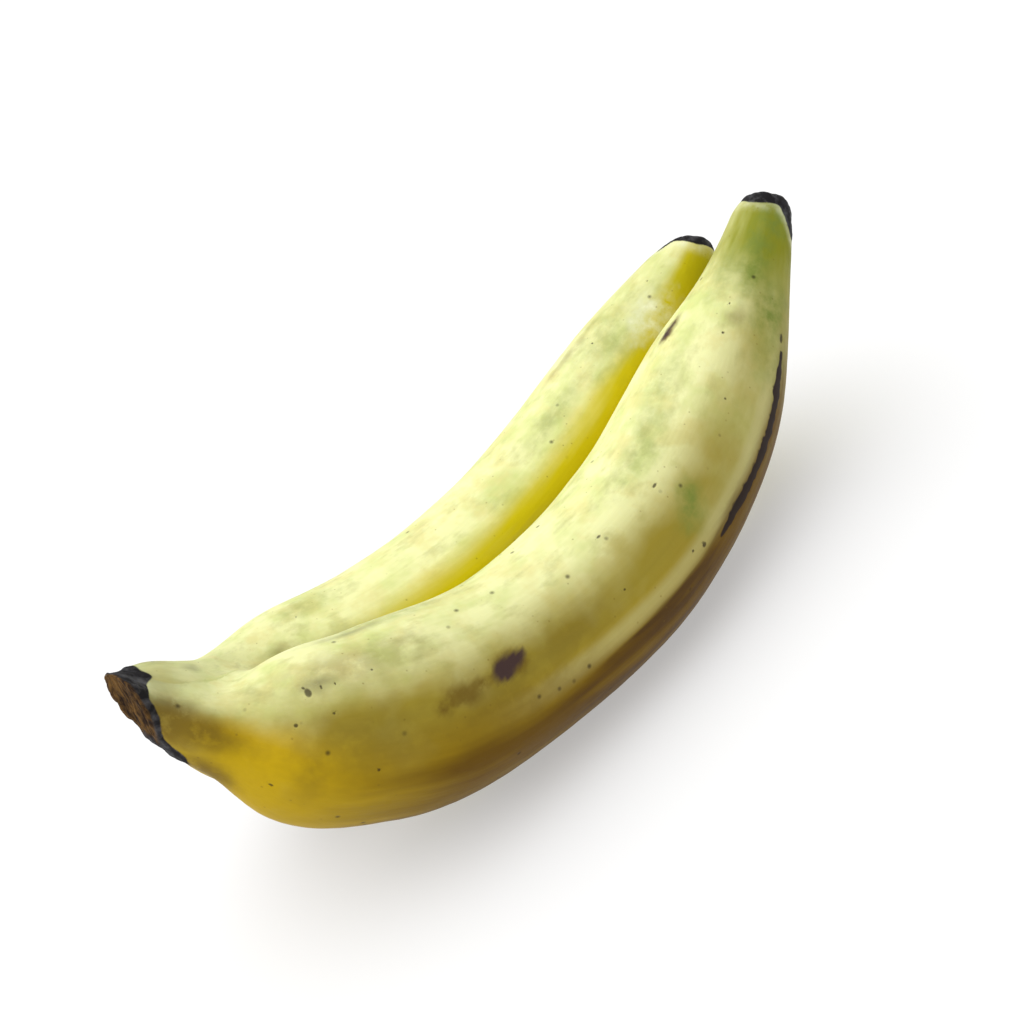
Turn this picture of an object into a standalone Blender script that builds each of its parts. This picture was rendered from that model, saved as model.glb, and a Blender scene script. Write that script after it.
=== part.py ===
"""A pair of plantains that grew on one crown, lying on their two bellies.

Metres, +Z up. The fingers run side by side along +X, from the cut crown at -X to their
tips at +X, and both bend upwards. The origin is on the surface that the pair rests on,
under the middle of its bounding box.
"""
import math

import bmesh
import bpy
import numpy as np

# ---- Driving dimensions: metres, and degrees where a name ends in DEG ----

SIDES = 36                  # corners of one ring of skin
RINGS = 46                  # rings along one finger, before its rounded tip
TIP_ROUND = 0.0035          # length of the rounding at a tip
TIP_FLAT = 0.6              # width of the flat end of a tip, against the ring before it
WIDTH_RATIO = 0.87          # a finger's sideways width against its depth

# Fractions of a finger's length, from the crown end to the tip, at which its shape is set
HEADING_AT = (0.0, 0.045, 0.08, 0.12, 0.36, 0.68, 1.0)
RADIUS_AT = (0.0, 0.045, 0.07, 0.10, 0.13, 0.17, 0.26, 0.42, 0.61, 0.80, 0.90, 1.0)
OFFSET_AT = (0.0, 0.05, 0.10, 0.19, 0.52, 0.86, 1.0)

# start: x and z of the crown end; heading: slope of the centre line; radius: half depth;
# offset: centre line to the plane between the fingers
FRONT_FINGER = {
    "side": -1,
    "start": (0.0005, -0.0005),
    "length": 0.2794,
    "heading_deg": (-23.4, -47.2, -62.6, -51.2, -13.6, 12.0, 45.2),
    "radius": (0.0076, 0.0064, 0.0050, 0.0077, 0.0104, 0.0189,
               0.0250, 0.0246, 0.0255, 0.0221, 0.0143, 0.0082),
    "offset": (0.0045, 0.0047, 0.0059, 0.0140, 0.0261, 0.0149, 0.0142),
}
REAR_FINGER = {
    "side": 1,
    "start": (0.0027, -0.0012),
    "length": 0.2672,
    "heading_deg": (-17.9, -37.2, -58.1, -58.8, -11.2, 9.8, 42.1),
    "radius": (0.0068, 0.0040, 0.0069, 0.0095, 0.0114, 0.0148,
               0.0234, 0.0257, 0.0238, 0.0215, 0.0173, 0.0078),
    "offset": (0.0045, 0.0040, 0.0070, 0.0236, 0.0214, 0.0197, 0.0098),
}

# The five lengthwise ridges of the skin: angle round the finger, where 0 is its upper
# side and 90 faces +Y, and height against the radius
RIDGES = ((-103, 0.10), (-58, 0.055), (58, 0.05), (103, 0.07), (180, 0.05))
RIDGE_SHARPNESS = 12.0      # a larger value gives narrower ridges

# The web of flesh that joins the two necks: its centre line runs between the fingers,
# and it ends where they part
NECK_WEB = {
    "side": 1,
    "start": (0.0015, -0.0008),
    "length": 0.066,
    "heading_deg": (-20, -27, -31, -36, -60, -47, -30),
    "radius": (0.0060, 0.0060, 0.0060, 0.0060, 0.0060, 0.0060,
               0.0062, 0.0072, 0.0118, 0.0132, 0.0120, 0.0080),
    "offset": (0.0, 0.0, 0.0, 0.0, 0.001, 0.006, 0.005),
}

CROWN_CUT_AT = (0.0116, 0.0, -0.0095)   # a point on the crown's cut face
CROWN_CUT_TILT_DEG = 7                  # how far the cut face looks up
REST_PRESS = 0.0006                     # how far the bellies are pressed flat
CUTTER_SIZE = 0.4                       # edge of the cutting blocks

SKIN_COLOR = (0.72, 0.70, 0.24, 1.0)
SKIN_ROUGHNESS = 0.5


def clear_scene():
    """Remove every object that the file opened with."""
    for item in list(bpy.data.objects):
        bpy.data.objects.remove(item, do_unlink=True)


def smooth_profile(knots, values, at):
    """Value at each fraction of a smooth curve through the knots (cubic Hermite)."""
    knots = np.asarray(knots, dtype=float)
    values = np.asarray(values, dtype=float)
    slopes = np.gradient(values, knots)
    left = np.clip(np.searchsorted(knots, at, side="right") - 1, 0, len(knots) - 2)
    span = knots[left + 1] - knots[left]
    t = (at - knots[left]) / span
    return (
        (2 * t**3 - 3 * t**2 + 1) * values[left]
        + (t**3 - 2 * t**2 + t) * span * slopes[left]
        + (3 * t**2 - 2 * t**3) * values[left + 1]
        + (t**3 - t**2) * span * slopes[left + 1]
    )


def ridge_factor(angle):
    """Radius round a finger against its mean: a low swelling at each ridge."""
    mean_swelling = np.i0(RIDGE_SHARPNESS) * math.exp(-RIDGE_SHARPNESS)
    factor = np.ones_like(angle)
    for ridge_deg, height in RIDGES:
        from_ridge = angle - math.radians(ridge_deg)
        swelling = np.exp(RIDGE_SHARPNESS * (np.cos(from_ridge) - 1))
        factor += height * (swelling - mean_swelling)
    return factor


def centre_line(finger, at):
    """Points and headings of a finger's centre line at fractions of its length."""
    steps = np.linspace(0.0, 1.0, 401)
    heading = np.radians(smooth_profile(HEADING_AT, finger["heading_deg"], steps))
    step = finger["length"] / (len(steps) - 1)
    middle = (heading[1:] + heading[:-1]) / 2
    start_x, start_z = finger["start"]
    x = start_x + np.concatenate([[0.0], np.cumsum(np.cos(middle))]) * step
    z = start_z + np.concatenate([[0.0], np.cumsum(np.sin(middle))]) * step
    y = finger["side"] * smooth_profile(OFFSET_AT, finger["offset"], at)
    points = np.stack([np.interp(at, steps, x), y, np.interp(at, steps, z)], axis=1)
    return points, np.interp(at, steps, heading)


def ring_fractions(finger):
    """Where the rings of skin stand: even steps, then close ones round the tip."""
    rounding = TIP_ROUND / finger["length"]
    body = np.linspace(0.0, 1.0 - rounding, RINGS)
    tip = 1.0 - rounding * np.array([0.6, 0.25, 0.0])
    return np.concatenate([body, tip])


def tip_factor(finger, at):
    """Radius near the tip against the plain taper: a quarter round, then the flat end."""
    to_end = np.clip((1.0 - at) * finger["length"] / TIP_ROUND, 0.0, 1.0)
    return TIP_FLAT + (1.0 - TIP_FLAT) * np.sqrt(1.0 - (1.0 - to_end) ** 2)


def finger_rings(finger):
    """Corner points of every ring, as an array: ring, corner, xyz."""
    at = ring_fractions(finger)
    centres, heading = centre_line(finger, at)
    radius = smooth_profile(RADIUS_AT, finger["radius"], at) * tip_factor(finger, at)
    angle = np.radians(np.arange(SIDES) * 360.0 / SIDES)
    size = radius[:, None] * ridge_factor(angle)[None, :]
    upward = np.stack([-np.sin(heading), np.zeros_like(heading), np.cos(heading)], axis=1)
    depth = size * np.cos(angle)
    width = WIDTH_RATIO * size * np.sin(angle)
    points = centres[:, None, :] + depth[:, :, None] * upward[:, None, :]
    points[:, :, 1] += width
    return points


def make_finger(name, finger):
    """Skin rings joined to a closed body, with a flat face at each end."""
    rings = finger_rings(finger)
    bm = bmesh.new()
    corners = []
    for ring in rings:
        corners.append([bm.verts.new(point) for point in ring])
    for near, far in zip(corners, corners[1:]):
        for i in range(SIDES):
            j = (i + 1) % SIDES
            bm.faces.new((near[i], near[j], far[j], far[i]))
    bm.faces.new(corners[0])
    bm.faces.new(corners[-1])
    bmesh.ops.recalc_face_normals(bm, faces=bm.faces)
    mesh = bpy.data.meshes.new(name)
    bm.to_mesh(mesh)
    bm.free()
    mesh.shade_smooth()
    body = bpy.data.objects.new(name, mesh)
    bpy.context.collection.objects.link(body)
    return body


def make_block(name, face_centre, tilt, outward):
    """A cutting block whose one face passes through face_centre and looks along outward."""
    bm = bmesh.new()
    bmesh.ops.create_cube(bm, size=CUTTER_SIZE)
    mesh = bpy.data.meshes.new(name)
    bm.to_mesh(mesh)
    bm.free()
    block = bpy.data.objects.new(name, mesh)
    block.location = [c + o * CUTTER_SIZE / 2 for c, o in zip(face_centre, outward)]
    block.rotation_euler = (0.0, tilt, 0.0)
    bpy.context.collection.objects.link(block)
    return block


def combine(body, operation, other):
    """Join or cut a body with another one, which stays as a guide only."""
    modifier = body.modifiers.new(other.name, "BOOLEAN")
    modifier.operation = operation
    modifier.object = other
    other.display_type = "WIRE"
    other.hide_render = True


def skin_material():
    """Waxy, half-ripe plantain skin."""
    material = bpy.data.materials.new("plantain_skin")
    material.use_nodes = True
    shader = material.node_tree.nodes["Principled BSDF"]
    shader.inputs["Base Color"].default_value = SKIN_COLOR
    shader.inputs["Roughness"].default_value = SKIN_ROUGHNESS
    shader.inputs["Metallic"].default_value = 0.0
    material.diffuse_color = SKIN_COLOR
    return material


def stand_on_origin(objects, body):
    """Move everything so that the body's box stands on the origin."""
    depsgraph = bpy.context.evaluated_depsgraph_get()
    evaluated = body.evaluated_get(depsgraph)
    mesh = evaluated.to_mesh()
    points = np.array([evaluated.matrix_world @ v.co for v in mesh.vertices])
    evaluated.to_mesh_clear()
    low = points.min(axis=0)
    high = points.max(axis=0)
    base = ((low[0] + high[0]) / 2, (low[1] + high[1]) / 2, low[2])
    for item in objects:
        item.location = [place - shift for place, shift in zip(item.location, base)]


def lowest(finger):
    """Height of a finger's belly before it is pressed flat."""
    return float(finger_rings(finger)[:, :, 2].min())


def main():
    clear_scene()
    pair = make_finger("plantain_pair", FRONT_FINGER)
    rear_form = make_finger("rear_finger_form", REAR_FINGER)
    web_form = make_finger("neck_web_form", NECK_WEB)
    pair.data.materials.append(skin_material())

    tilt = math.radians(CROWN_CUT_TILT_DEG)
    cut_outward = (-math.cos(tilt), 0.0, math.sin(tilt))
    crown_cutter = make_block("crown_cutter", CROWN_CUT_AT, tilt, cut_outward)

    rest_height = max(lowest(FRONT_FINGER), lowest(REAR_FINGER)) + REST_PRESS
    under_pair = (FRONT_FINGER["length"] / 2, 0.0, rest_height)
    rest_cutter = make_block("rest_cutter", under_pair, 0.0, (0.0, 0.0, -1.0))

    combine(pair, "UNION", rear_form)
    combine(pair, "UNION", web_form)
    combine(pair, "DIFFERENCE", crown_cutter)
    combine(pair, "DIFFERENCE", rest_cutter)
    bpy.context.view_layer.update()
    stand_on_origin((pair, rear_form, web_form, crown_cutter, rest_cutter), pair)


main()
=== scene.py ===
"""Looks of a pair of plantains that grew on one crown, lying on their two bellies.

Lengths are in metres and +Z is up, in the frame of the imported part. The skin is one fine
mesh that is slid onto a smooth formula for the pair's surface, with its ridges, scars and
dents, and is coloured by procedural nodes that read where each point is on its finger.
"""

import math

import bmesh
import bpy
import numpy as np
from mathutils import Matrix, Vector, noise


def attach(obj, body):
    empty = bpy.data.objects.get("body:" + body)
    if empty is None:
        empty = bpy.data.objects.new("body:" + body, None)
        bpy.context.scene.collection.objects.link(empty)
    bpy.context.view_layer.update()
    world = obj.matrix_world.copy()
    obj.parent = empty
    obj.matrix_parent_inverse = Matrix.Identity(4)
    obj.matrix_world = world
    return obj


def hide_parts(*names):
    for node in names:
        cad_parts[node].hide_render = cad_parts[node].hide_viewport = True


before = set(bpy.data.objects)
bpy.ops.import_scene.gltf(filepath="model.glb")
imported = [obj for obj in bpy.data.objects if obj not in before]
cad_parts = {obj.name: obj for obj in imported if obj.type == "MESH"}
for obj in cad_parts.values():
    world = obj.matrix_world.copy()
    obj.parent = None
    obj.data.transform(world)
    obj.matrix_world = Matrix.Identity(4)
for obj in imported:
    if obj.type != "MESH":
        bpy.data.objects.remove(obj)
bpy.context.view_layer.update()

# ---- The pair's form, as in the CAD part ----

CROWN_START = np.array((-0.130458, -0.001765, 0.087300))
WIDTH_RATIO = 0.87
HEADING_AT = (0.0, 0.045, 0.08, 0.12, 0.36, 0.68, 1.0)
RADIUS_AT = (0.0, 0.045, 0.07, 0.10, 0.13, 0.17, 0.26, 0.42, 0.61, 0.80, 0.90, 1.0)
OFFSET_AT = (0.0, 0.05, 0.10, 0.19, 0.52, 0.86, 1.0)
FRONT_FINGER = {
    "side": -1,
    "start": (0.0005, -0.0005),
    "length": 0.2794,
    "heading_deg": (-23.4, -47.2, -62.6, -51.2, -13.6, 12.0, 45.2),
    "radius": (0.0076, 0.0064, 0.0050, 0.0077, 0.0104, 0.0189,
               0.0250, 0.0246, 0.0255, 0.0221, 0.0143, 0.0082),
    "offset": (0.0045, 0.0047, 0.0059, 0.0140, 0.0261, 0.0149, 0.0142),
    "tip_flat": 0.0056,
}
REAR_FINGER = {
    "side": 1,
    "start": (0.0027, -0.0012),
    "length": 0.2672,
    "heading_deg": (-17.9, -37.2, -58.1, -58.8, -11.2, 9.8, 42.1),
    "radius": (0.0068, 0.0040, 0.0069, 0.0095, 0.0114, 0.0148,
               0.0234, 0.0257, 0.0238, 0.0215, 0.0173, 0.0078),
    "offset": (0.0045, 0.0040, 0.0070, 0.0236, 0.0214, 0.0197, 0.0098),
    "tip_flat": 0.0046,
}
NECK_WEB = {
    "side": 1,
    "start": (0.0015, -0.0008),
    "length": 0.066,
    "heading_deg": (-20, -27, -31, -36, -60, -47, -30),
    "radius": (0.0060, 0.0060, 0.0060, 0.0060, 0.0060, 0.0060,
               0.0062, 0.0072, 0.0118, 0.0132, 0.0120, 0.0080),
    "offset": (0.0, 0.0, 0.0, 0.0, 0.001, 0.006, 0.005),
    "tip_flat": 0.006,
}
RIDGES = ((-103, 0.10), (-58, 0.055), (58, 0.05), (103, 0.07), (180, 0.05))
RIDGE_SHARPNESS = 12.0
CUT_AT = CROWN_START + (0.0116, 0.0, -0.0095)
CUT_TILT = math.radians(7)
CUT_OUTWARD = np.array((-math.cos(CUT_TILT), 0.0, math.sin(CUT_TILT)))
# Rounding between the two fingers and round the web, by fraction of the front finger
JOIN_AT = (0.05, 0.10, 0.16, 0.22, 0.28, 0.34)
JOIN_WIDTH = (0.003, 0.010, 0.010, 0.005, 0.002, 0.0004)
WEB_WIDTH = (0.002, 0.006, 0.006, 0.007, 0.007, 0.007)

# ---- Mesh ----

CENTRE_STEPS = 401          # points on a finger's centre line
COARSE_STEP = 4             # the search for a nearest ring first tries one in so many
SEARCH_BLOCK = 20000        # points searched at once, to save memory
SEARCH_PASSES = 5           # passes that then close in on the ring
SEARCH_SHARE = 0.9          # part of the way taken in each pass
CORE_SHARE = 0.93           # the remeshed core's radius against the finished one
CORE_SIDES = 32
CORE_RINGS = 60
CORE_REACH = 0.995          # where the core stops, as a fraction of the finger
VOXEL = 0.00125             # edge of the remeshed skin's faces
SLIDES = 4                  # passes that slide the mesh onto the formula
TOUCH_UPS = 2               # such passes after the mesh is evened out or made finer
PROBE = 0.00005             # step for the formula's gradient
LEAST_STEEPNESS = 0.25      # keeps moves short where the gradient is weak
LARGEST_MOVE = 0.003        # in one pass
RELAX_PASSES = 2
RELAX_SHARE = 0.6           # part of the way to the neighbours' middle
NECK_END = 0.085            # finer mesh before this fraction of the length
TIP_START = 0.955           # and after this one
CROWN_DEPTH = 0.007         # still finer mesh this near the cut
DOT_MARGIN = 0.0011         # finer mesh this far round a dark dot
LINE_MARGIN = 0.0008        # and this far beside a dark line
TIP_EDGE = 0.0022           # rounding of the edges at a finger's end
TIP_TILT = 0.18             # slope of a finger's end face, higher towards -Y
CUT_EDGE = 0.0010           # rounding at the rim of the crown's cut face
REST_EDGE = 0.0012          # rounding round the pressed patch of a belly, which
REST_DROP = 0.2 * REST_EDGE  # comes down to the floor when lowered by this

# ---- Relief: each pattern's lump size and shift, then the heights ----

CLOUDS = (0.022, 7.7)
WOBBLE = (0.004, 3.1)
FINE = (0.0016, 5.3)
CRINKLES = (0.0011, 1.7)
FIBRES = (0.0014, 9.1)
TEARS = (0.0055, 2.3)
CLOUD_HEIGHT = 0.00022
WOBBLE_HEIGHT = 0.00005
CRINKLE_HEIGHT = 0.00016
FIBRE_HEIGHT = 0.0006
TEAR_HEIGHT = 0.0012
CUT_SINK = 0.0004
DRIED_HEIGHT = 0.0005
DOT_DEPTH = 0.00012


def smooth_profile(knots, values, at):
    """Value at each fraction of a smooth curve through the knots (cubic Hermite)."""
    knots = np.asarray(knots, dtype=float)
    values = np.asarray(values, dtype=float)
    slopes = np.gradient(values, knots)
    left = np.clip(np.searchsorted(knots, at, side="right") - 1, 0, len(knots) - 2)
    span = knots[left + 1] - knots[left]
    t = (at - knots[left]) / span
    return (
        (2 * t**3 - 3 * t**2 + 1) * values[left]
        + (t**3 - 2 * t**2 + t) * span * slopes[left]
        + (3 * t**2 - 2 * t**3) * values[left + 1]
        + (t**3 - t**2) * span * slopes[left + 1]
    )


def ramp(low, high, value):
    """0 up to low, 1 from high, smooth between them; low may be the larger one."""
    t = np.clip((value - low) / (high - low), 0.0, 1.0)
    return t * t * (3.0 - 2.0 * t)


def smooth_min(a, b, width):
    """The lesser of two distances, rounded over width where they meet."""
    share = np.clip(0.5 + 0.5 * (b - a) / width, 0.0, 1.0)
    return b + (a - b) * share - width * share * (1.0 - share)


def smooth_max(a, b, width):
    """The greater of two distances, rounded over width where they meet."""
    return -smooth_min(-a, -b, width)


def ridge_factor(angle):
    """Radius round a finger against its mean: a low swelling at each ridge."""
    mean_swelling = np.i0(RIDGE_SHARPNESS) * math.exp(-RIDGE_SHARPNESS)
    factor = np.ones_like(angle)
    for ridge_deg, height in RIDGES:
        from_ridge = angle - math.radians(ridge_deg)
        factor += height * (np.exp(RIDGE_SHARPNESS * (np.cos(from_ridge) - 1)) - mean_swelling)
    return factor


class Finger:
    """One finger's centre line, and the place of any point round it."""

    def __init__(self, form):
        steps = np.linspace(0.0, 1.0, CENTRE_STEPS)
        heading = np.radians(smooth_profile(HEADING_AT, form["heading_deg"], steps))
        middle = (heading[1:] + heading[:-1]) / 2
        step = form["length"] / (len(steps) - 1)
        self.length = form["length"]
        self.steps = steps
        self.heading = heading
        x = np.concatenate([[0.0], np.cumsum(np.cos(middle))]) * step
        z = np.concatenate([[0.0], np.cumsum(np.sin(middle))]) * step
        self.x = CROWN_START[0] + form["start"][0] + x
        self.z = CROWN_START[2] + form["start"][1] + z
        offset = smooth_profile(OFFSET_AT, form["offset"], steps)
        self.y = CROWN_START[1] + form["side"] * offset
        self.radius = smooth_profile(RADIUS_AT, form["radius"], steps)
        self.tip_flat = form["tip_flat"]

    def nearest(self, points):
        """Fraction of the length at which each point's ring stands."""
        at = np.empty(len(points))
        coarse = slice(0, CENTRE_STEPS, COARSE_STEP)
        blocks = max(1, len(points) // SEARCH_BLOCK)
        for block in np.array_split(np.arange(len(points)), blocks):
            across = points[block, 0, None] - self.x[None, coarse]
            upward = points[block, 2, None] - self.z[None, coarse]
            at[block] = self.steps[coarse][np.argmin(across**2 + upward**2, axis=1)]
        for _ in range(SEARCH_PASSES):
            along, _ = self.offsets(points, at)
            at = np.clip(at + SEARCH_SHARE * along / self.length, 0.0, 1.0)
        return at

    def offsets(self, points, at):
        """How far each point is along and above its ring's centre."""
        heading = np.interp(at, self.steps, self.heading)
        dx = points[:, 0] - np.interp(at, self.steps, self.x)
        dz = points[:, 2] - np.interp(at, self.steps, self.z)
        along = dx * np.cos(heading) + dz * np.sin(heading)
        depth = dz * np.cos(heading) - dx * np.sin(heading)
        return along, depth

    def place(self, points):
        """Fraction along, angle round, distance out and distance past the tip."""
        at = self.nearest(points)
        along, depth = self.offsets(points, at)
        width = (points[:, 1] - np.interp(at, self.steps, self.y)) / WIDTH_RATIO
        past_tip = along - (1.0 - at) * self.length
        return at, np.arctan2(width, depth), np.hypot(width, depth), past_tip

    def surface_radius(self, at, angle):
        return np.interp(at, self.steps, self.radius) * ridge_factor(angle)

    def rings(self, at, angle, share):
        """Points on the finger's skin, or under it where share is less than 1."""
        heading = np.interp(at, self.steps, self.heading)[:, None]
        size = share * self.surface_radius(at[:, None], angle[None, :])
        depth = size * np.cos(angle)[None, :]
        width = WIDTH_RATIO * size * np.sin(angle)[None, :]
        x = np.interp(at, self.steps, self.x)[:, None] - depth * np.sin(heading)
        y = np.interp(at, self.steps, self.y)[:, None] + width
        z = np.interp(at, self.steps, self.z)[:, None] + depth * np.cos(heading)
        return np.stack([x, y, z], axis=2)


FRONT = Finger(FRONT_FINGER)
REAR = Finger(REAR_FINGER)
WEB = Finger(NECK_WEB)


def side_distance(finger, points):
    """Signed distance to one finger's skin, and the place of each point round it."""
    at, angle, out, past_tip = finger.place(points)
    skin = out - finger.surface_radius(at, angle)
    past_tip = past_tip + TIP_TILT * out * np.sin(angle)
    bevel = (out + past_tip - finger.tip_flat) * math.sqrt(0.5)
    end = smooth_max(past_tip, bevel, TIP_EDGE)
    return smooth_max(skin, end, TIP_EDGE), at, angle


def pair_distance(points):
    """Signed distance to the whole pair's surface, below 0 inside it."""
    front, at, _ = side_distance(FRONT, points)
    rear, _, _ = side_distance(REAR, points)
    web, _, _ = side_distance(WEB, points)
    joined = np.interp(at, JOIN_AT, JOIN_WIDTH)
    body = smooth_min(front, rear, joined)
    body = smooth_min(body, web, np.interp(at, JOIN_AT, WEB_WIDTH))
    cut = (points - CUT_AT) @ CUT_OUTWARD
    body = smooth_max(body, cut, CUT_EDGE)
    return smooth_max(body, -points[:, 2] - REST_DROP, REST_EDGE)


def slide_to_surface(points, passes):
    """Move points along the surface formula's gradient until they lie on the surface."""
    for _ in range(passes):
        distance = pair_distance(points)
        gradient = np.empty_like(points)
        for axis in range(3):
            shifted = points.copy()
            shifted[:, axis] += PROBE
            gradient[:, axis] = (pair_distance(shifted) - distance) / PROBE
        steepness = np.maximum((gradient**2).sum(axis=1), LEAST_STEEPNESS)
        move = gradient * (distance / steepness)[:, None]
        length = np.linalg.norm(move, axis=1)
        move *= np.minimum(1.0, LARGEST_MOVE / np.maximum(length, 1e-9))[:, None]
        points = points - move
    return points


def core_shell(bm, finger, last):
    """Add one closed tube just under a finger's skin, as far along as last."""
    at = np.linspace(0.0, last, CORE_RINGS)
    angle = np.radians(np.arange(CORE_SIDES) * 360.0 / CORE_SIDES)
    rings = [[bm.verts.new(p) for p in ring] for ring in finger.rings(at, angle, CORE_SHARE)]
    for near, far in zip(rings, rings[1:]):
        for i in range(CORE_SIDES):
            j = (i + 1) % CORE_SIDES
            bm.faces.new((near[i], near[j], far[j], far[i]))
    bm.faces.new(rings[0])
    bm.faces.new(rings[-1])


def cut_crown(bm):
    """Cut the tubes off at the crown's cut face and close them again."""
    parts = bm.verts[:] + bm.edges[:] + bm.faces[:]
    cut = bmesh.ops.bisect_plane(
        bm, geom=parts, plane_co=CUT_AT, plane_no=CUT_OUTWARD, clear_outer=True
    )
    rim = [e for e in cut["geom_cut"] if isinstance(e, bmesh.types.BMEdge)]
    bmesh.ops.contextual_create(bm, geom=rim)


def core_mesh(name):
    """Even, fine mesh a little under the pair's surface."""
    bm = bmesh.new()
    for finger, last in ((FRONT, CORE_REACH), (REAR, CORE_REACH), (WEB, 1.0)):
        part = bmesh.new()
        core_shell(part, finger, last)
        cut_crown(part)
        bmesh.ops.recalc_face_normals(part, faces=part.faces)
        shell = bpy.data.meshes.new("shell")
        part.to_mesh(shell)
        part.free()
        bm.from_mesh(shell)
        bpy.data.meshes.remove(shell)
    mesh = bpy.data.meshes.new(name)
    bm.to_mesh(mesh)
    bm.free()
    body = bpy.data.objects.new(name, mesh)
    bpy.context.scene.collection.objects.link(body)
    remesh = body.modifiers.new("even", "REMESH")
    remesh.mode = "VOXEL"
    remesh.voxel_size = VOXEL
    depsgraph = bpy.context.evaluated_depsgraph_get()
    fine = bpy.data.meshes.new_from_object(body.evaluated_get(depsgraph))
    body.modifiers.clear()
    body.data = fine
    bpy.data.meshes.remove(mesh)
    return body


def read_points(mesh):
    points = np.empty(len(mesh.vertices) * 3, np.float32)
    mesh.vertices.foreach_get("co", points)
    return points.reshape(-1, 3).astype(float)


def write_points(mesh, points):
    mesh.vertices.foreach_set("co", points.astype(np.float32).ravel())
    mesh.update()


def relax(mesh, points, strength):
    """Even out the spacing of neighbouring vertices."""
    edges = np.empty(len(mesh.edges) * 2, np.int32)
    mesh.edges.foreach_get("vertices", edges)
    a, b = edges.reshape(-1, 2).T
    total = np.zeros_like(points)
    count = np.zeros(len(points))
    np.add.at(total, a, points[b])
    np.add.at(total, b, points[a])
    np.add.at(count, a, 1)
    np.add.at(count, b, 1)
    middle = total / np.maximum(count, 1)[:, None]
    return points + strength * (middle - points)


def refine(body, wanted):
    """Halve the faces where wanted(points) is true, and put the new points on the surface."""
    chosen = wanted(read_points(body.data))
    bm = bmesh.new()
    bm.from_mesh(body.data)
    bm.verts.ensure_lookup_table()
    edges = [e for e in bm.edges if chosen[e.verts[0].index] and chosen[e.verts[1].index]]
    bmesh.ops.subdivide_edges(bm, edges=edges, cuts=1, use_grid_fill=True)
    bm.to_mesh(body.data)
    bm.free()
    points = read_points(body.data)
    near = wanted(points)
    points[near] = slide_to_surface(points[near], TOUCH_UPS)
    write_points(body.data, points)


def at_ends(points):
    """True on the crown and on both tips."""
    front = FRONT.place(points)[0]
    rear = REAR.place(points)[0]
    return (np.minimum(front, rear) < NECK_END) | (front > TIP_START) | (rear > TIP_START)


def at_crown(points):
    """True at the cut face and just behind its rim."""
    return (points - CUT_AT) @ CUT_OUTWARD > -CROWN_DEPTH


def noise_at(points, size, shift):
    """Smooth noise from -1 to 1 whose lumps are about size metres across."""
    return np.array([noise.noise(Vector(p)) for p in points / size + shift])


# ---- Marks: finger, fraction along, angle round, half length, half width ----

GREEN_MARKS = (
    (FRONT, 0.613, -72, 0.0052, 0.0042),
    (FRONT, 0.624, -66, 0.0045, 0.0034),
    (FRONT, 0.870, -80, 0.0080, 0.0060),
    (FRONT, 0.925, -52, 0.0130, 0.0045),
    (FRONT, 0.975, -70, 0.0060, 0.0060),
    (REAR, 0.930, 60, 0.0120, 0.0060),
    (FRONT, 0.930, 100, 0.0140, 0.0060),
)
FAINT_GREEN_MARKS = (
    (FRONT, 0.900, -18, 0.0110, 0.0035),
    (FRONT, 0.720, -12, 0.0180, 0.0045),
    (FRONT, 0.640, -25, 0.0140, 0.0050),
    (FRONT, 0.820, -85, 0.0090, 0.0060),
    (FRONT, 0.300, 10, 0.0180, 0.0050),
    (REAR, 0.850, -25, 0.0160, 0.0100),
    (REAR, 0.720, -25, 0.0150, 0.0030),
    (REAR, 0.330, -10, 0.0140, 0.0040),
    (REAR, 0.500, 50, 0.0200, 0.0080),
    (FRONT, 0.700, 120, 0.0200, 0.0080),
)
BROWN_MARKS = (
    (FRONT, 0.290, -74, 0.0050, 0.0020),
    (FRONT, 0.302, -72, 0.0060, 0.0028),
    (FRONT, 0.324, -69, 0.0036, 0.0016),
    (FRONT, 0.358, -67, 0.0062, 0.0034),
    (FRONT, 0.812, 11, 0.0056, 0.0019),
    (FRONT, 0.560, 70, 0.0200, 0.0030),
    (REAR, 0.430, 75, 0.0160, 0.0040),
    (REAR, 0.230, 110, 0.0120, 0.0050),
    (REAR, 0.650, 150, 0.0180, 0.0050),
    (FRONT, 0.420, 170, 0.0200, 0.0040),
)
TAN_MARKS = (
    (FRONT, 0.174, -100, 0.0026, 0.0080),
    (FRONT, 0.215, -84, 0.0150, 0.0075),
    (FRONT, 0.350, -82, 0.0220, 0.0080),
    (FRONT, 0.845, -47, 0.0030, 0.0030),
    (FRONT, 0.225, -35, 0.0200, 0.0060),
    (REAR, 0.805, 8, 0.0110, 0.0020),
    (REAR, 0.240, -40, 0.0060, 0.0020),
    (FRONT, 0.420, -72, 0.0140, 0.0050),
)
# Brownish-olive painted shade on the undersides of the necks
PAINTED_NECK_SHADE_MARKS = (
    (FRONT, 0.076, -98, 0.0100, 0.0060),
    (FRONT, 0.095, -91, 0.0100, 0.0040),
    (FRONT, 0.120, -172, 0.0060, 0.0060),
    (REAR, 0.130, 100, 0.0070, 0.0050),
)
BRUISES = (
    (FRONT, 0.351, -68, 0.0036, 0.0028),
    (FRONT, 0.361, -66, 0.0036, 0.0020),
    (FRONT, 0.371, -64.5, 0.0022, 0.0010),
    (FRONT, 0.810, 12, 0.0046, 0.0014),
    (REAR, 0.520, 100, 0.0045, 0.0028),
    (FRONT, 0.640, 160, 0.0040, 0.0024),
)
# A whitish painted sheen on the rear finger, near its tip
PAINTED_SHEEN_MARKS = ((REAR, 0.885, -50, 0.0080, 0.0070),)
GREY_MARKS = (
    (FRONT, 0.245, 2, 0.0090, 0.0020),
    (FRONT, 0.188, -44, 0.0035, 0.0020),
    (REAR, 0.105, -28, 0.0030, 0.0020),
    (REAR, 0.330, -50, 0.0100, 0.0024),
)
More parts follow.
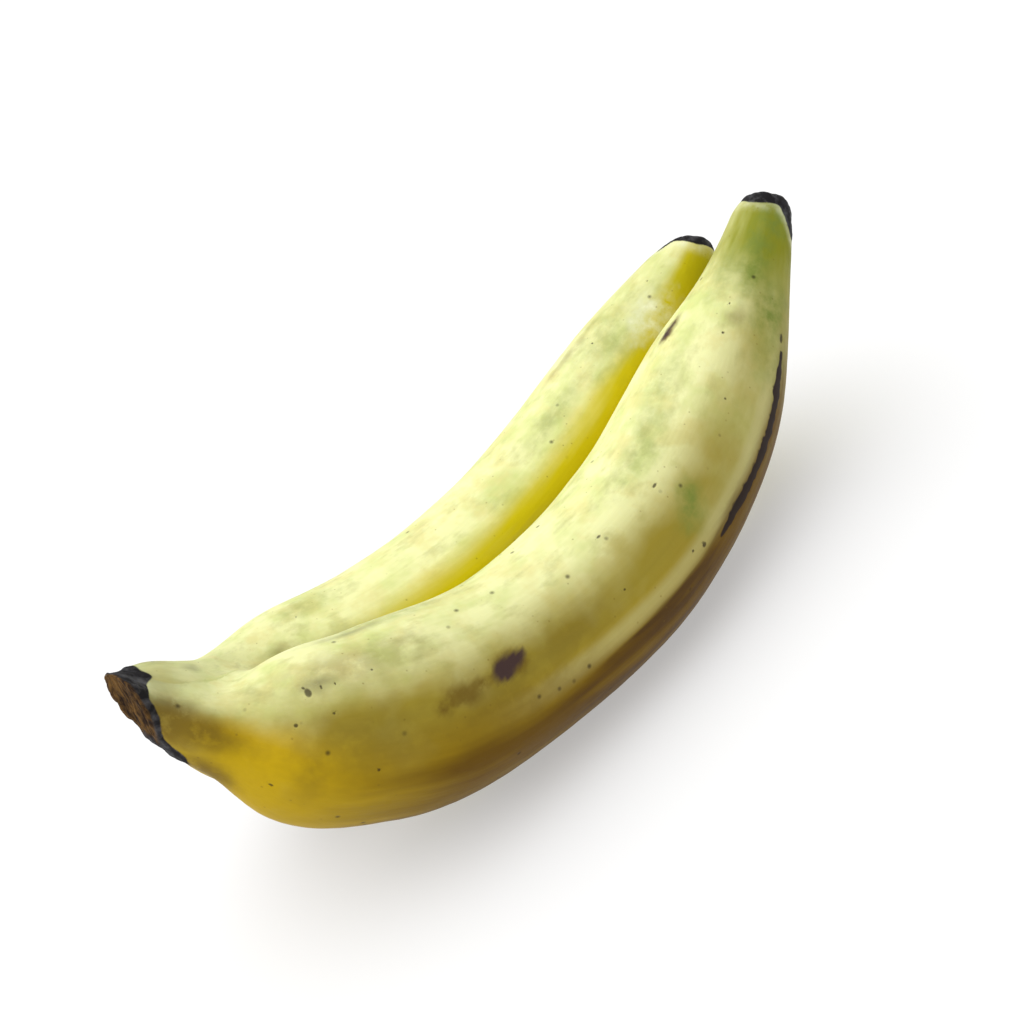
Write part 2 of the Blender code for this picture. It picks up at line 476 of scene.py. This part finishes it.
DOTS = (
    (FRONT, 0.175, -48, 0.0008, 0.0014),
    (FRONT, 0.173, -43, 0.0004, 0.0005),
    (FRONT, 0.186, -46, 0.0003, 0.0007),
    (FRONT, 0.198, -46, 0.0003, 0.0006),
    (FRONT, 0.163, -71, 0.0005, 0.0006),
    (FRONT, 0.155, -125, 0.0005, 0.0004),
    (FRONT, 0.220, -100, 0.0004, 0.0005),
    (FRONT, 0.190, -65, 0.0004, 0.0004),
    (FRONT, 0.235, -42, 0.0004, 0.0004),
    (FRONT, 0.605, -45, 0.0011, 0.0005),
    (FRONT, 0.520, -38, 0.0009, 0.0004),
    (FRONT, 0.860, -38, 0.0006, 0.0003),
    (FRONT, 0.820, -42, 0.0005, 0.0004),
    (FRONT, 0.745, -60, 0.0004, 0.0004),
    (FRONT, 0.600, -92, 0.0009, 0.0007),
    (FRONT, 0.585, -88, 0.0005, 0.0004),
    (FRONT, 0.500, -72, 0.0005, 0.0004),
    (FRONT, 0.850, -98, 0.0016, 0.0007),
    (REAR, 0.830, -12, 0.0006, 0.0005),
    (REAR, 0.930, -20, 0.0004, 0.0003),
    (REAR, 0.300, -18, 0.0004, 0.0003),
    (REAR, 0.470, 60, 0.0007, 0.0005),
    (REAR, 0.360, 120, 0.0006, 0.0005),
    (FRONT, 0.300, 140, 0.0006, 0.0005),
    (REAR, 0.700, 80, 0.0007, 0.0005),
)

# Finger, angle round, first and last fraction along, half width
DARK_LINES = (
    (FRONT, -100, 0.62, 0.84, 0.0015),
    (REAR, 100, 0.55, 0.72, 0.0008),
    (REAR, 104, 0.13, 0.25, 0.0003),
    (FRONT, 178, 0.30, 0.44, 0.0007),
)
BAND_WIDTH = 0.0022         # of the blackened skin round the cut, at its sides
BAND_ABOVE = 0.0050         # added to it on top
BAND_BELOW = 0.0028         # and underneath
FRONT_CAP = 0.9875          # where the black caps begin, as fractions of the length
REAR_CAP = 0.9895
RIM_WIDTH = 0.0042          # of the pale rim before a cap
DRIED_EDGE = 0.0006         # softness of the dried parts' borders


def turned(angle, degrees):
    """Angle from a direction round the finger, from -pi to pi."""
    return (angle - math.radians(degrees) + math.pi) % (2 * math.pi) - math.pi


class Skin:
    """Where every vertex is on its finger, and how strongly each mark shows there."""

    def __init__(self, points):
        front, self.front_at, self.front_angle = side_distance(FRONT, points)
        rear, self.rear_at, self.rear_angle = side_distance(REAR, points)
        self.points = points
        self.front_share = ramp(-0.0010, 0.0010, rear - front)
        self.wobble = noise_at(points, *WOBBLE)
        self.fine = noise_at(points, *FINE)
        self.clouds = noise_at(points, *CLOUDS)
        self.cut = (points - CUT_AT) @ CUT_OUTWARD

    def mix(self, on_front, on_rear):
        """One value from those of the two fingers, by whose skin is nearer."""
        return self.front_share * on_front + (1.0 - self.front_share) * on_rear

    def place(self, finger):
        """Fraction along, angle round, and share that belongs to this finger."""
        if finger is FRONT:
            return self.front_at, self.front_angle, self.front_share
        return self.rear_at, self.rear_angle, 1.0 - self.front_share

    def marks(self, marks, blur, ragged):
        """Strength of the strongest of some oval marks, with soft, ragged edges."""
        strength = np.zeros(len(self.points))
        for finger, centre, degrees, half_length, half_width in marks:
            at, angle, share = self.place(finger)
            along = (at - centre) * finger.length / half_length
            radius = finger.surface_radius(at, angle)
            around = turned(angle, degrees) * radius / half_width
            reach = np.hypot(along, around) + ragged * (self.wobble + 0.5 * self.fine)
            strength = np.maximum(strength, share * ramp(1.0 + blur, 1.0 - blur, reach))
        return strength

    def streak_vector(self):
        """Place on the skin as a vector: along the finger, then round it."""
        parts = []
        for finger, at, angle in (
            (FRONT, self.front_at, self.front_angle),
            (REAR, self.rear_at, self.rear_angle + 2.4),
        ):
            radius = np.interp(at, finger.steps, finger.radius)
            parts.append(np.stack(
                [at * finger.length, radius * np.cos(angle), radius * np.sin(angle)], axis=1
            ))
        share = self.front_share[:, None]
        return share * parts[0] + (1.0 - share) * parts[1]

    def crown_band(self):
        """The dried, blackened skin round the cut, of uneven width."""
        from_centre = self.points - CUT_AT
        height = from_centre @ np.cross((0.0, 1.0, 0.0), CUT_OUTWARD)
        upward = height / np.maximum(np.hypot(height, from_centre[:, 1]), 1e-6)
        above = BAND_ABOVE * ramp(0.1, 0.9, upward)
        below = BAND_BELOW * ramp(-0.75, -1.0, upward)
        past = self.cut + BAND_WIDTH + above + below + 0.0010 * self.wobble
        return ramp(-0.0010, DRIED_EDGE, past)

    def tip_caps(self):
        """The black remains of the flower at each tip, and the pale rim below them."""
        low_front = ramp(75, 115, -np.degrees(turned(self.front_angle, 0)))
        inner_front = ramp(40, 75, np.degrees(self.front_angle))
        upper_rear = ramp(25, -10, np.degrees(np.abs(turned(self.rear_angle, 15))))
        past_front = self.front_at - FRONT_CAP + 0.030 * low_front + 0.012 * inner_front
        past_rear = self.rear_at - REAR_CAP + 0.022 * upper_rear
        past = self.mix(past_front * FRONT.length, past_rear * REAR.length)
        past = past + 0.0009 * self.wobble
        return ramp(-DRIED_EDGE, DRIED_EDGE, past), ramp(-RIM_WIDTH, -0.0008, past)

    def ridge_lines(self, spread=0.0):
        """Black-brown scuffing along the ridges, wider by spread."""
        wander = 0.0010 * self.clouds
        strength = np.zeros(len(self.points))
        for finger, degrees, first, last, half_width in DARK_LINES:
            at, angle, share = self.place(finger)
            middle = (first + last) / 2
            thick = np.sqrt(np.clip(1 - ((at - middle) / ((last - first) / 2)) ** 2, 0, 1))
            width = half_width * thick * (1.0 + 0.5 * self.wobble + 0.3 * self.fine)
            radius = finger.surface_radius(at, angle)
            away = np.abs(turned(angle, degrees) * radius + wander)
            line = ramp(0.0008, -0.0004, away - width - spread) * ramp(0.0, 0.3, thick)
            strength = np.maximum(strength, share * line)
        return strength

    def under(self, low, high):
        """0 on the upper side of both fingers, 1 on their bellies."""
        front = ramp(low, high, np.degrees(np.abs(turned(self.front_angle, 8))))
        rear = ramp(low, high, np.degrees(np.abs(turned(self.rear_angle, 0))))
        return self.mix(front, rear)

    def inner_side(self):
        """1 on the faces that the two fingers turn to each other."""
        front = ramp(40, 75, np.degrees(self.front_angle)) * (self.front_angle > 0)
        rear = ramp(-34, -58, np.degrees(self.rear_angle)) * (self.rear_angle < 0)
        return self.mix(front, rear)

    def painted_ridge_highlight(self):
        """Painted highlight: a paler band along the upper edge of the front finger's outer
        ridge.
        """
        degrees = np.degrees(turned(self.front_angle, -91))
        across = ramp(9, 3, np.abs(degrees))
        begins = ramp(0.30, 0.42, self.front_at)
        ends = ramp(0.90, 0.75, self.front_at)
        return self.front_share * across * begins * ends

    def near_tips(self):
        """Greener skin before the tips, more of it on the front finger."""
        outer = 0.65 + 0.35 * ramp(20, -40, np.degrees(self.front_angle))
        front = outer * ramp(0.85, 0.95, self.front_at)
        return self.mix(front, 0.18 * ramp(0.80, 0.96, self.rear_at))

    def scuffs(self):
        """Where the lower skin is streaked with brown."""
        front = ramp(98, 104, np.degrees(np.abs(turned(self.front_angle, 8))))
        rear = ramp(95, 110, np.degrees(np.abs(self.rear_angle)))
        return self.mix(
            front * ramp(0.36, 0.44, self.front_at) * ramp(0.80, 0.62, self.front_at),
            0.6 * rear * ramp(0.40, 0.50, self.rear_at) * ramp(0.80, 0.70, self.rear_at),
        )

    def along(self):
        """Fraction of the length at which each point is, on its own finger."""
        return self.mix(self.front_at, self.rear_at)


def add_attribute(mesh, name, values):
    """Store one number or one vector for every vertex."""
    kind = "FLOAT_VECTOR" if values.ndim == 2 else "FLOAT"
    attribute = mesh.attributes.new(name, kind, "POINT")
    field = "vector" if values.ndim == 2 else "value"
    attribute.data.foreach_set(field, values.astype(np.float32).ravel())


def relief(skin, dark, dots):
    """How far the skin stands proud of the plain surface, in metres."""
    face = ramp(-0.0012, -0.0003, skin.cut)
    crinkle = noise_at(skin.points * (1.0, 0.5, 1.0), *CRINKLES)
    fibres = noise_at(skin.points * (1.0, 1.0, 0.3), *FIBRES)
    torn = noise_at(skin.points, *TEARS)
    height = CLOUD_HEIGHT * skin.clouds + WOBBLE_HEIGHT * skin.wobble
    height += CRINKLE_HEIGHT * dark * crinkle
    height += face * (FIBRE_HEIGHT * fibres + TEAR_HEIGHT * torn - CUT_SINK)
    height += DRIED_HEIGHT * dark * skin.wobble * (1.0 - face)
    return height - DOT_DEPTH * dots


def sculpt(mesh, skin, dark, dots):
    """Move the skin along its normals by its relief, but never below the floor."""
    normals = np.empty(len(skin.points) * 3, np.float32)
    mesh.vertices.foreach_get("normal", normals)
    lift = relief(skin, dark, dots)
    points = skin.points + normals.reshape(-1, 3) * lift[:, None]
    points[:, 2] = np.maximum(points[:, 2], 0.0)
    write_points(mesh, points)


def region_masks(skin):
    """Where the broad regions of the skin are, by attribute name; the sides, bellies, gold and
    the faces between the fingers are painted shade and painted bounce light over the skin's
    own tones, and the ridge band is a painted highlight.
    """
    at = skin.along()
    neck = ramp(0.20, 0.11, at)
    sharp = skin.front_share * ramp(0.32, 0.46, at)
    # Painted shade on the sides, partly their own olive-gold tone; it is weaker towards the
    # tips and at the necks
    shaded = 1.0 - 0.40 * ramp(0.55, 0.80, at)
    shaded = shaded * (1.0 - 0.6 * ramp(0.20, 0.13, at))
    # Dark brown on the bellies: mostly painted shade, partly the skin's own brown
    belly = skin.under(78 + 20 * sharp, 120 - 12 * sharp) * ramp(0.14, 0.32, at)
    return {
        "side": skin.under(36, 82) * shaded,
        # Gold on the lower sides towards the necks: partly the ripe skin's own colour, partly
        # painted light bounced up from below
        "gold_and_painted_bounce": skin.under(80 - 22 * neck, 118 - 24 * neck) * ramp(0.70, 0.45, at),
        "belly": belly * ramp(0.92, 0.74, at),
        # A painted highlight along the front finger's outer ridge
        "painted_ridge_highlight": skin.painted_ridge_highlight(),
        "tip_green": skin.near_tips(),
        "scuff": skin.scuffs(),
        # Deep yellow where the fingers face each other: painted shade in the crease, with
        # painted light bounced between them
        "crease_painted_shade": skin.inner_side() * ramp(0.25, 0.45, at),
        "cut": ramp(-0.0012, -0.0004, skin.cut),
    }


def blotch_masks(skin, rims):
    """Where the single marks on the skin are, by attribute name; the brown mask also holds
    painted shade on the necks' undersides, and one whitish mark is a painted sheen.
    """
    green = 0.95 * skin.marks(GREEN_MARKS, blur=0.9, ragged=0.4)
    faint = 0.45 * skin.marks(FAINT_GREEN_MARKS, blur=0.95, ragged=0.4)
    brown = 0.9 * skin.marks(BROWN_MARKS, blur=0.6, ragged=0.4)
    # Painted shade on the necks' undersides
    painted_neck_shade = 0.8 * skin.marks(PAINTED_NECK_SHADE_MARKS, blur=0.7, ragged=0.2)
    tan = 0.42 * skin.marks(TAN_MARKS, blur=0.95, ragged=0.4)
    grey = skin.marks(GREY_MARKS, blur=0.9, ragged=0.4)
    # Whitish painted sheen on the rear finger
    painted_sheen = skin.marks(PAINTED_SHEEN_MARKS, blur=0.5, ragged=0.5)
    return {
        "green": np.maximum(green, faint),
        # Real brown and tan marks, together with the painted shade on the necks
        "brown": np.maximum(np.maximum(brown, painted_neck_shade), tan),
        "grey": np.maximum(grey, 0.75 * ramp(0.13, 0.06, skin.along())),
        "bruise": skin.marks(BRUISES, blur=0.25, ragged=0.20),
        # The pale rims below the tip caps, and the painted sheen
        "pale_rim_and_painted_sheen": np.maximum(painted_sheen, 0.6 * rims),
    }


def sculpt_and_mark(mesh):
    """Give the skin its relief and the masks that its material reads."""
    skin = Skin(read_points(mesh))
    tips, rims = skin.tip_caps()
    dark = np.maximum(tips, skin.crown_band())
    dots = skin.marks(DOTS, blur=0.35, ragged=0.15)
    sculpt(mesh, skin, dark, dots)
    masks = {
        "skin": skin.streak_vector(),
        "scar": np.maximum(skin.ridge_lines(), 0.7 * dots),
        "dark": dark,
    }
    for name, values in (masks | region_masks(skin) | blotch_masks(skin, rims)).items():
        add_attribute(mesh, name, values)


def near_scars(points):
    """True close to a small dark dot or a narrow dark line."""
    skin = Skin(points)
    wide = [
        (finger, at, degrees, length + DOT_MARGIN, width + DOT_MARGIN)
        for finger, at, degrees, length, width in DOTS
    ]
    dots = skin.marks(wide, blur=0.1, ragged=0.0)
    return (dots > 0.5) | (skin.ridge_lines(LINE_MARGIN) > 0.1)


def build_pair():
    """The pair's skin as one closed mesh, with its relief and the masks of its marks."""
    body = core_mesh("plantain_skin_mesh")
    points = slide_to_surface(read_points(body.data), SLIDES)
    for _ in range(RELAX_PASSES):
        points = relax(body.data, points, RELAX_SHARE)
        points = slide_to_surface(points, TOUCH_UPS)
    write_points(body.data, points)
    for wanted in (at_ends, at_crown, near_scars, near_scars):
        refine(body, wanted)
    sculpt_and_mark(body.data)
    body.data.shade_smooth()
    return body


# ---- Skin material ----

PALE = (0.76, 0.765, 0.385, 1.0)
PALE_GREEN = (0.53, 0.585, 0.20, 1.0)
PALE_WARM = (0.66, 0.60, 0.24, 1.0)
# Olive-gold of the sides: partly the skin's own tone, partly painted shade
SIDE_TONE_AND_PAINTED_SHADE = (0.31, 0.24, 0.028, 1.0)
# Paler tone of the painted highlight along the ridge
PAINTED_RIDGE_HIGHLIGHT = (0.50, 0.46, 0.20, 1.0)
# Gold of the lower sides: partly the skin's own colour, partly painted bounce light
GOLD_AND_PAINTED_BOUNCE = (0.48, 0.32, 0.005, 1.0)
# Dark brown of the bellies: mostly painted shade, partly the skin's own brown
BELLY_TONE_AND_PAINTED_SHADE = (0.135, 0.068, 0.001, 1.0)
SCUFF = (0.075, 0.036, 0.008, 1.0)
# Painted shade and painted bounce light in the crease between the fingers
CREASE_PAINTED_SHADE = (0.60, 0.505, 0.005, 1.0)
GREEN = (0.175, 0.225, 0.036, 1.0)
TIP_GREEN = (0.235, 0.240, 0.014, 1.0)
# Brown of real marks and flecks, also used for painted shade on the necks
BROWN_AND_PAINTED_SHADE = (0.15, 0.092, 0.010, 1.0)
GREY = (0.28, 0.285, 0.135, 1.0)
BRUISE = (0.060, 0.034, 0.030, 1.0)
SMUDGE = (0.36, 0.36, 0.13, 1.0)
SCAR = (0.020, 0.010, 0.006, 1.0)
# Whitish colour of the pale rims and of the painted sheen
PALE_RIM_AND_PAINTED_SHEEN = (0.76, 0.77, 0.52, 1.0)
DARK = (0.012, 0.011, 0.012, 1.0)
DARK_HIGH = (0.075, 0.074, 0.078, 1.0)
CUT = (0.135, 0.072, 0.022, 1.0)
CUT_DEEP = (0.020, 0.011, 0.007, 1.0)
STREAK_DARK = (0.96, 0.96, 0.94, 1.0)
STREAK_LIGHT = (1.02, 1.02, 1.02, 1.0)
SKIN_ROUGHNESS = 0.40
BUMP_DISTANCE = 0.0004
BUMP_STRENGTH = 0.35
FLESH_SHARE = 0.08          # light that goes under the skin
FLESH_DEPTH = 0.004
FLESH_SPREAD = (1.0, 0.7, 0.25)
SKIN_SPECULAR = 0.08


class Nodes:
    """Small helper that adds and links shader nodes."""

    def __init__(self, material):
        material.use_nodes = True
        self.tree = material.node_tree
        self.shader = self.tree.nodes["Principled BSDF"]

    def add(self, kind, **settings):
        node = self.tree.nodes.new(kind)
        for name, value in settings.items():
            setattr(node, name, value)
        return node

    def link(self, source, target):
        self.tree.links.new(source, target)

    def value(self, name):
        """A mask that is stored on the mesh."""
        return self.add("ShaderNodeAttribute", attribute_name=name).outputs["Fac"]

    def math(self, operation, a, b):
        node = self.add("ShaderNodeMath", operation=operation)
        for slot, source in zip(node.inputs, (a, b)):
            if isinstance(source, (int, float)):
                slot.default_value = source
            else:
                self.link(source, slot)
        return node.outputs[0]

    def times(self, a, b):
        return self.math("MULTIPLY", a, b)

    def around_zero(self, source, height):
        """A pattern from 0 to 1, moved to lie around 0 and made so high."""
        return self.times(self.math("SUBTRACT", source, 0.5), height)

    def blend(self, factor, below, above, mode="MIX"):
        """Colour above over colour below, where factor says."""
        node = self.add("ShaderNodeMix", data_type="RGBA", blend_type=mode)
        for slot, source in ((0, factor), (6, below), (7, above)):
            if isinstance(source, (float, tuple)):
                node.inputs[slot].default_value = source
            else:
                self.link(source, node.inputs[slot])
        return node.outputs[2]

    def steps(self, source, low, high):
        """0 below low and 1 above high, straight between them."""
        node = self.add("ShaderNodeMapRange")
        node.inputs["From Min"].default_value = low
        node.inputs["From Max"].default_value = high
        self.link(source, node.inputs["Value"])
        return node.outputs["Result"]

    def over(self, name, unevenness):
        """A mask on the mesh with uneven edges."""
        mask = self.value(name)
        change = self.times(unevenness, self.steps(mask, 0.0, 0.4))
        return self.steps(self.math("ADD", mask, change), 0.0, 1.0)

    def patchy(self, name, pattern, low, high):
        """A mask on the mesh, thinned out where a pattern is low."""
        return self.times(self.value(name), self.steps(pattern, low, high))

    def specks(self, vector, scale):
        """Small round specks, scattered, with most of them left out."""
        node = self.add("ShaderNodeTexVoronoi", feature="F1")
        node.inputs["Scale"].default_value = scale
        node.inputs["Randomness"].default_value = 1.0
        self.link(vector, node.inputs["Vector"])
        near = self.steps(node.outputs["Distance"], 0.16, 0.05)
        split = self.add("ShaderNodeSeparateColor")
        self.link(node.outputs["Color"], split.inputs[0])
        return self.times(near, self.steps(split.outputs[0], 0.78, 0.84))

    def noise(self, vector, scale, detail, stretch=(1.0, 1.0, 1.0), rough=0.5):
        """Noise from 0 to 1; a stretch below 1 draws its lumps out on that axis."""
        mapping = self.add("ShaderNodeMapping")
        mapping.inputs["Scale"].default_value = stretch
        self.link(vector, mapping.inputs["Vector"])
        node = self.add("ShaderNodeTexNoise")
        node.inputs["Scale"].default_value = scale
        node.inputs["Detail"].default_value = detail
        node.inputs["Roughness"].default_value = rough
        self.link(mapping.outputs[0], node.inputs["Vector"])
        return node.outputs["Fac"]


class Patterns:
    """The patterns that several layers of the skin share."""

    def __init__(self, n):
        self.skin = n.add("ShaderNodeAttribute", attribute_name="skin").outputs["Vector"]
        self.place = n.add("ShaderNodeTexCoord").outputs["Object"]
        self.clouds = n.noise(self.place, 45.0, 3.0)
        self.mottle = n.noise(self.place, 240.0, 4.0, rough=0.6)
        self.streaks = n.noise(self.skin, 900.0, 3.0, stretch=(0.03, 1.0, 1.0))
        self.bands = n.noise(self.skin, 220.0, 2.0, stretch=(0.12, 1.0, 1.0))


def pale_skin(n, patterns):
    """Pale skin with greener and warmer patches and faint smudges."""
    smudges = n.noise(patterns.skin, 150.0, 4.0, stretch=(0.6, 1.0, 1.0), rough=0.6)
    patches = n.noise(patterns.skin, 75.0, 3.0, stretch=(0.7, 1.0, 1.0), rough=0.6)
    warm = n.noise(patterns.place, 95.0, 3.0, rough=0.6)
    color = n.blend(n.times(n.steps(patches, 0.44, 0.68), 0.8), PALE, PALE_GREEN)
    color = n.blend(n.times(n.steps(warm, 0.48, 0.66), 0.6), color, PALE_WARM)
    return n.blend(n.times(n.steps(smudges, 0.53, 0.75), 0.50), color, SMUDGE)


def add_regions(n, patterns, color):
    """Painted shade on the sides and bellies over their own golden and brown tones, gold with
    painted bounce light, painted shade in the crease between the fingers, a painted highlight
    along the front ridge, and the green tips.
    """
    cloudy = n.around_zero(patterns.clouds, 0.8)
    banded = n.around_zero(patterns.bands, 0.7)
    # Painted shade on the sides, over their own olive-gold tone
    color = n.blend(n.over("side", cloudy), color, SIDE_TONE_AND_PAINTED_SHADE)
    # Painted bounce light in gold on the lower sides, over their own gold
    color = n.blend(n.over("gold_and_painted_bounce", cloudy), color, GOLD_AND_PAINTED_BOUNCE)
    # Painted highlight along the front ridge
    color = n.blend(n.times(n.value("painted_ridge_highlight"), 0.55), color, PAINTED_RIDGE_HIGHLIGHT)
    # Painted shade on the bellies, over their own brown
    color = n.blend(n.over("belly", banded), color, BELLY_TONE_AND_PAINTED_SHADE)
    # Painted shade in the crease between the fingers
    color = n.blend(n.over("crease_painted_shade", banded), color, CREASE_PAINTED_SHADE)
    return n.blend(n.over("tip_green", banded), color, TIP_GREEN)


def add_blotches(n, patterns, color):
    """Blotches, among them brown painted shade on the necks, brown scuffs, the pale rims and a
    whitish painted sheen on a waxy place, fine streaks and bruises.
    """
    mottle, bands = patterns.mottle, patterns.bands
    color = n.blend(n.patchy("green", mottle, 0.15, 0.60), color, GREEN)
    color = n.blend(n.patchy("grey", bands, 0.1, 0.8), color, GREY)
    # Brown marks, and painted shade on the necks
    color = n.blend(n.patchy("brown", mottle, 0.1, 0.5), color, BROWN_AND_PAINTED_SHADE)
    color = n.blend(n.times(n.patchy("scuff", bands, 0.50, 0.66), 0.8), color, SCUFF)
    # The pale rims, and a whitish painted sheen
    color = n.blend(n.patchy("pale_rim_and_painted_sheen", mottle, 0.25, 0.75), color, PALE_RIM_AND_PAINTED_SHEEN)
    shade = n.blend(n.steps(patterns.streaks, 0.25, 0.75), STREAK_DARK, STREAK_LIGHT)
    color = n.blend(1.0, color, shade, "MULTIPLY")
    return n.blend(n.patchy("bruise", mottle, 0.0, 0.30), color, BRUISE)


def add_dried_parts(n, patterns, dark, color):
    """Scars, the black dried skin at the ends and the torn cut face."""
    color = n.blend(n.steps(n.value("scar"), 0.3, 0.8), color, SCAR)
    facets = n.noise(patterns.place, 330.0, 3.0, rough=0.5)
    dark_tone = n.blend(n.steps(facets, 0.46, 0.70), DARK, DARK_HIGH)
    color = n.blend(dark, color, dark_tone)
    fibres = n.noise(patterns.place, 620.0, 4.0, stretch=(1.0, 1.0, 0.3), rough=0.7)
    cut_tone = n.blend(n.steps(fibres, 0.40, 0.62), CUT_DEEP, CUT)
    return n.blend(n.value("cut"), color, cut_tone)


def skin_roughness(n, patterns, dark):
    """Rougher on the dried ends and the cut, smoother on the pale rims and on the waxy place
    with the painted sheen.
    """
    rough = n.math("ADD", SKIN_ROUGHNESS, n.times(patterns.mottle, 0.14))
    rough = n.math("ADD", rough, n.times(dark, 0.26))
    rough = n.math("ADD", rough, n.times(n.value("cut"), 0.20))
    return n.math("SUBTRACT", rough, n.times(n.value("pale_rim_and_painted_sheen"), 0.22))


def skin_bump(n, patterns, specks):
    """Fine grain and streaks, with the specks a little sunken."""
    height = n.math("ADD", n.times(patterns.mottle, 0.6), n.times(patterns.streaks, 0.4))
    height = n.math("SUBTRACT", height, n.times(specks, 0.5))
    bump = n.add("ShaderNodeBump")
    bump.inputs["Distance"].default_value = BUMP_DISTANCE
    bump.inputs["Strength"].default_value = BUMP_STRENGTH
    n.link(height, bump.inputs["Height"])
    return bump.outputs[0]


def skin_material():
    """Waxy half-ripe skin: streaks, clouds, specks, scars and dried ends, with painted shade,
    painted bounce light, a painted sheen and a painted highlight in its colour.
    """
    material = bpy.data.materials.new("plantain_skin")
    n = Nodes(material)
    patterns = Patterns(n)
    specks = n.times(n.specks(patterns.place, 190.0), 0.7)
    flecks = n.times(n.specks(patterns.skin, 420.0), 0.45)
    ragged = n.math("ADD", n.value("dark"), n.around_zero(patterns.mottle, 0.7))
    dark = n.steps(ragged, 0.30, 0.70)

    color = add_regions(n, patterns, pale_skin(n, patterns))
    color = add_blotches(n, patterns, color)
    color = n.blend(specks, color, SCAR)
    color = n.blend(flecks, color, BROWN_AND_PAINTED_SHADE)
    color = add_dried_parts(n, patterns, dark, color)
    shader = n.shader
    n.link(color, shader.inputs["Base Color"])
    n.link(skin_roughness(n, patterns, dark), shader.inputs["Roughness"])
    n.link(skin_bump(n, patterns, specks), shader.inputs["Normal"])
    shader.inputs["Subsurface Weight"].default_value = FLESH_SHARE
    shader.inputs["Subsurface Radius"].default_value = FLESH_SPREAD
    shader.inputs["Subsurface Scale"].default_value = FLESH_DEPTH
    shader.inputs["Specular IOR Level"].default_value = SKIN_SPECULAR
    return material


# ---- Stage ----

CAMERA_AT = (-0.20150, -0.34271, 0.24554)
CAMERA_RIGHT = (0.6498, -0.6300, -0.4253)
CAMERA_UP = (0.6136, 0.1045, 0.7827)
CAMERA_LENS = 56.85         # with the sensor, in millimetres
CAMERA_SENSOR = 36.0
CAMERA_NEAR = 0.01
OVERHEAD_FROM = (-0.30, 0.25, 1.0)
OVERHEAD_SPREAD_DEG = 100
OVERHEAD_STRENGTH = 3.35
FILL_STRENGTH = 0.50
FLOOR_RADIUS = 4.0
FLOOR_SIDES = 96
FLOOR_COLOR = (0.46, 0.46, 0.46, 1.0)
FLOOR_ROUGHNESS = 0.9
FLOOR_SPECULAR = 0.1
FLOOR_GLOW = 0.40           # keeps the shadows on the floor light
WHITE = (1.0, 1.0, 1.0, 1.0)


def make_camera():
    """Camera at a place, turned so that its right and up are the given ones."""
    right = Vector(CAMERA_RIGHT).normalized()
    back = right.cross(Vector(CAMERA_UP)).normalized()
    up = back.cross(right)
    turn = Matrix((right, up, back)).transposed().to_4x4()
    camera = bpy.data.objects.new("camera", bpy.data.cameras.new("camera"))
    camera.matrix_world = Matrix.Translation(CAMERA_AT) @ turn
    camera.data.lens = CAMERA_LENS
    camera.data.sensor_width = CAMERA_SENSOR
    camera.data.clip_start = CAMERA_NEAR
    bpy.context.scene.collection.objects.link(camera)
    bpy.context.scene.camera = camera


def floor_material():
    """Matt paper that glows faintly."""
    material = bpy.data.materials.new("floor_paper")
    material.use_nodes = True
    shader = material.node_tree.nodes["Principled BSDF"]
    shader.inputs["Base Color"].default_value = FLOOR_COLOR
    shader.inputs["Roughness"].default_value = FLOOR_ROUGHNESS
    shader.inputs["Specular IOR Level"].default_value = FLOOR_SPECULAR
    shader.inputs["Emission Color"].default_value = WHITE
    shader.inputs["Emission Strength"].default_value = FLOOR_GLOW
    return material


def make_floor():
    bm = bmesh.new()
    bmesh.ops.create_circle(bm, cap_ends=True, radius=FLOOR_RADIUS, segments=FLOOR_SIDES)
    mesh = bpy.data.meshes.new("floor")
    bm.to_mesh(mesh)
    bm.free()
    floor = bpy.data.objects.new("floor", mesh)
    floor.data.materials.append(floor_material())
    bpy.context.scene.collection.objects.link(floor)


def make_lights():
    """A wide soft lamp overhead and a white sky."""
    lamp = bpy.data.lights.new("overhead", "SUN")
    lamp.energy = OVERHEAD_STRENGTH
    lamp.angle = math.radians(OVERHEAD_SPREAD_DEG)
    light = bpy.data.objects.new("overhead", lamp)
    light.rotation_euler = Vector(OVERHEAD_FROM).to_track_quat("Z", "Y").to_euler()
    bpy.context.scene.collection.objects.link(light)
    world = bpy.data.worlds.new("studio")
    world.use_nodes = True
    back = world.node_tree.nodes["Background"]
    back.inputs["Color"].default_value = WHITE
    back.inputs["Strength"].default_value = FILL_STRENGTH
    bpy.context.scene.world = world
    bpy.context.scene.view_settings.view_transform = "Standard"
    bpy.context.scene.view_settings.look = "None"


make_camera()
make_floor()
make_lights()
pair = build_pair()
pair.data.materials.clear()
pair.data.materials.append(skin_material())
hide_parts("plantain_pair")
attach(pair, "root")
